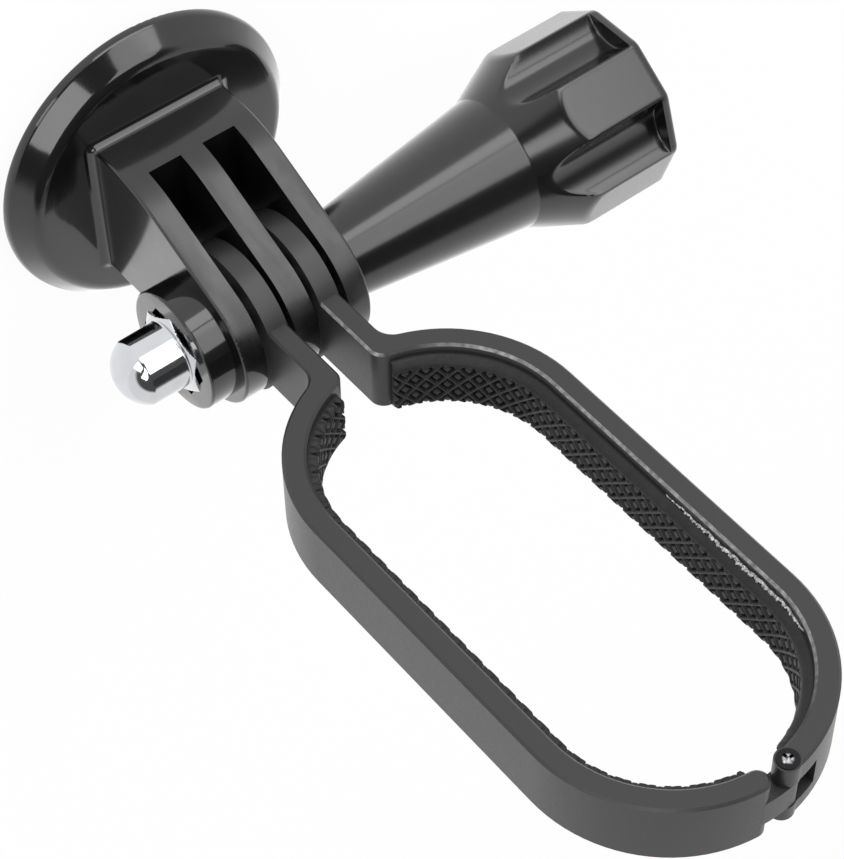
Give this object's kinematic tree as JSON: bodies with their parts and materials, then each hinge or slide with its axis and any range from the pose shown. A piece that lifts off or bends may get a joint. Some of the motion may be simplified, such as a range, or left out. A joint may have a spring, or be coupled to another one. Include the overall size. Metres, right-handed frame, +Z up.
{
  "type": "hinged ring clamp mount",
  "caption": "Adhesive disc base with a three-finger fork, holding an oblong hinged ring clamp on a thumb screw with a cap nut.",
  "frame": {"origin": "disc axis at the underside of the adhesive pad", "axes": "+Z up out of the disc, +X along the clamp bolt from the cap nut towards the knob, +Y towards the fork's sloping front"},
  "size_m": [0.0624, 0.0328, 0.0936],
  "materials": {
    "black_gloss_plastic": "glossy moulded black",
    "pad_foam": "matt foam tape",
    "chrome_plate": "polished chrome plate",
    "bolt_steel": "plain zinc plated steel",
    "black_aluminium": "satin black anodised",
    "black_rubber": "matt knurled rubber",
    "screw_steel": "blackened steel with a bright recess"
  },
  "bodies": {
    "base": {"disc_base": "black_gloss_plastic", "adhesive_pad": "pad_foam", "cap_nut": "chrome_plate"},
    "clamp_left": {"clamp_arm_left": "black_aluminium", "liner_left": "black_rubber"},
    "clamp_right": {"clamp_arm_right": "black_aluminium", "liner_right": "black_rubber", "hinge_screw": "screw_steel"},
    "bolt": {"thumb_bolt": "bolt_steel"},
    "knob": {"thumb_knob": "black_gloss_plastic"}
  },
  "joints": [
    {"name": "clamp_tilt", "type": "hinge", "parent": "base", "child": "clamp_left", "pos_m": [0, -0.00504, 0.0204], "axis": [1, 0, 0], "range_deg": [-109, 139]},
    {"name": "clamp_hinge", "type": "hinge", "parent": "clamp_left", "child": "clamp_right", "pos_m": [0.00125, -0.00504, 0.09238], "axis": [0, 1, 0], "range_deg": [-0.5, 0.4]},
    {"name": "bolt_travel", "type": "slide", "parent": "base", "child": "bolt", "axis": [1, 0, 0], "range_m": [0, 0.0048]},
    {"name": "knob_turn", "type": "hinge", "parent": "bolt", "child": "knob", "pos_m": [0.02, -0.00504, 0.0204], "axis": [1, 0, 0], "range_deg": [0, 2160]}
  ],
  "couplings": [
    {"joint": "bolt_travel", "follows": "knob_turn", "m_per_rad": 0.00012732}
  ]
}
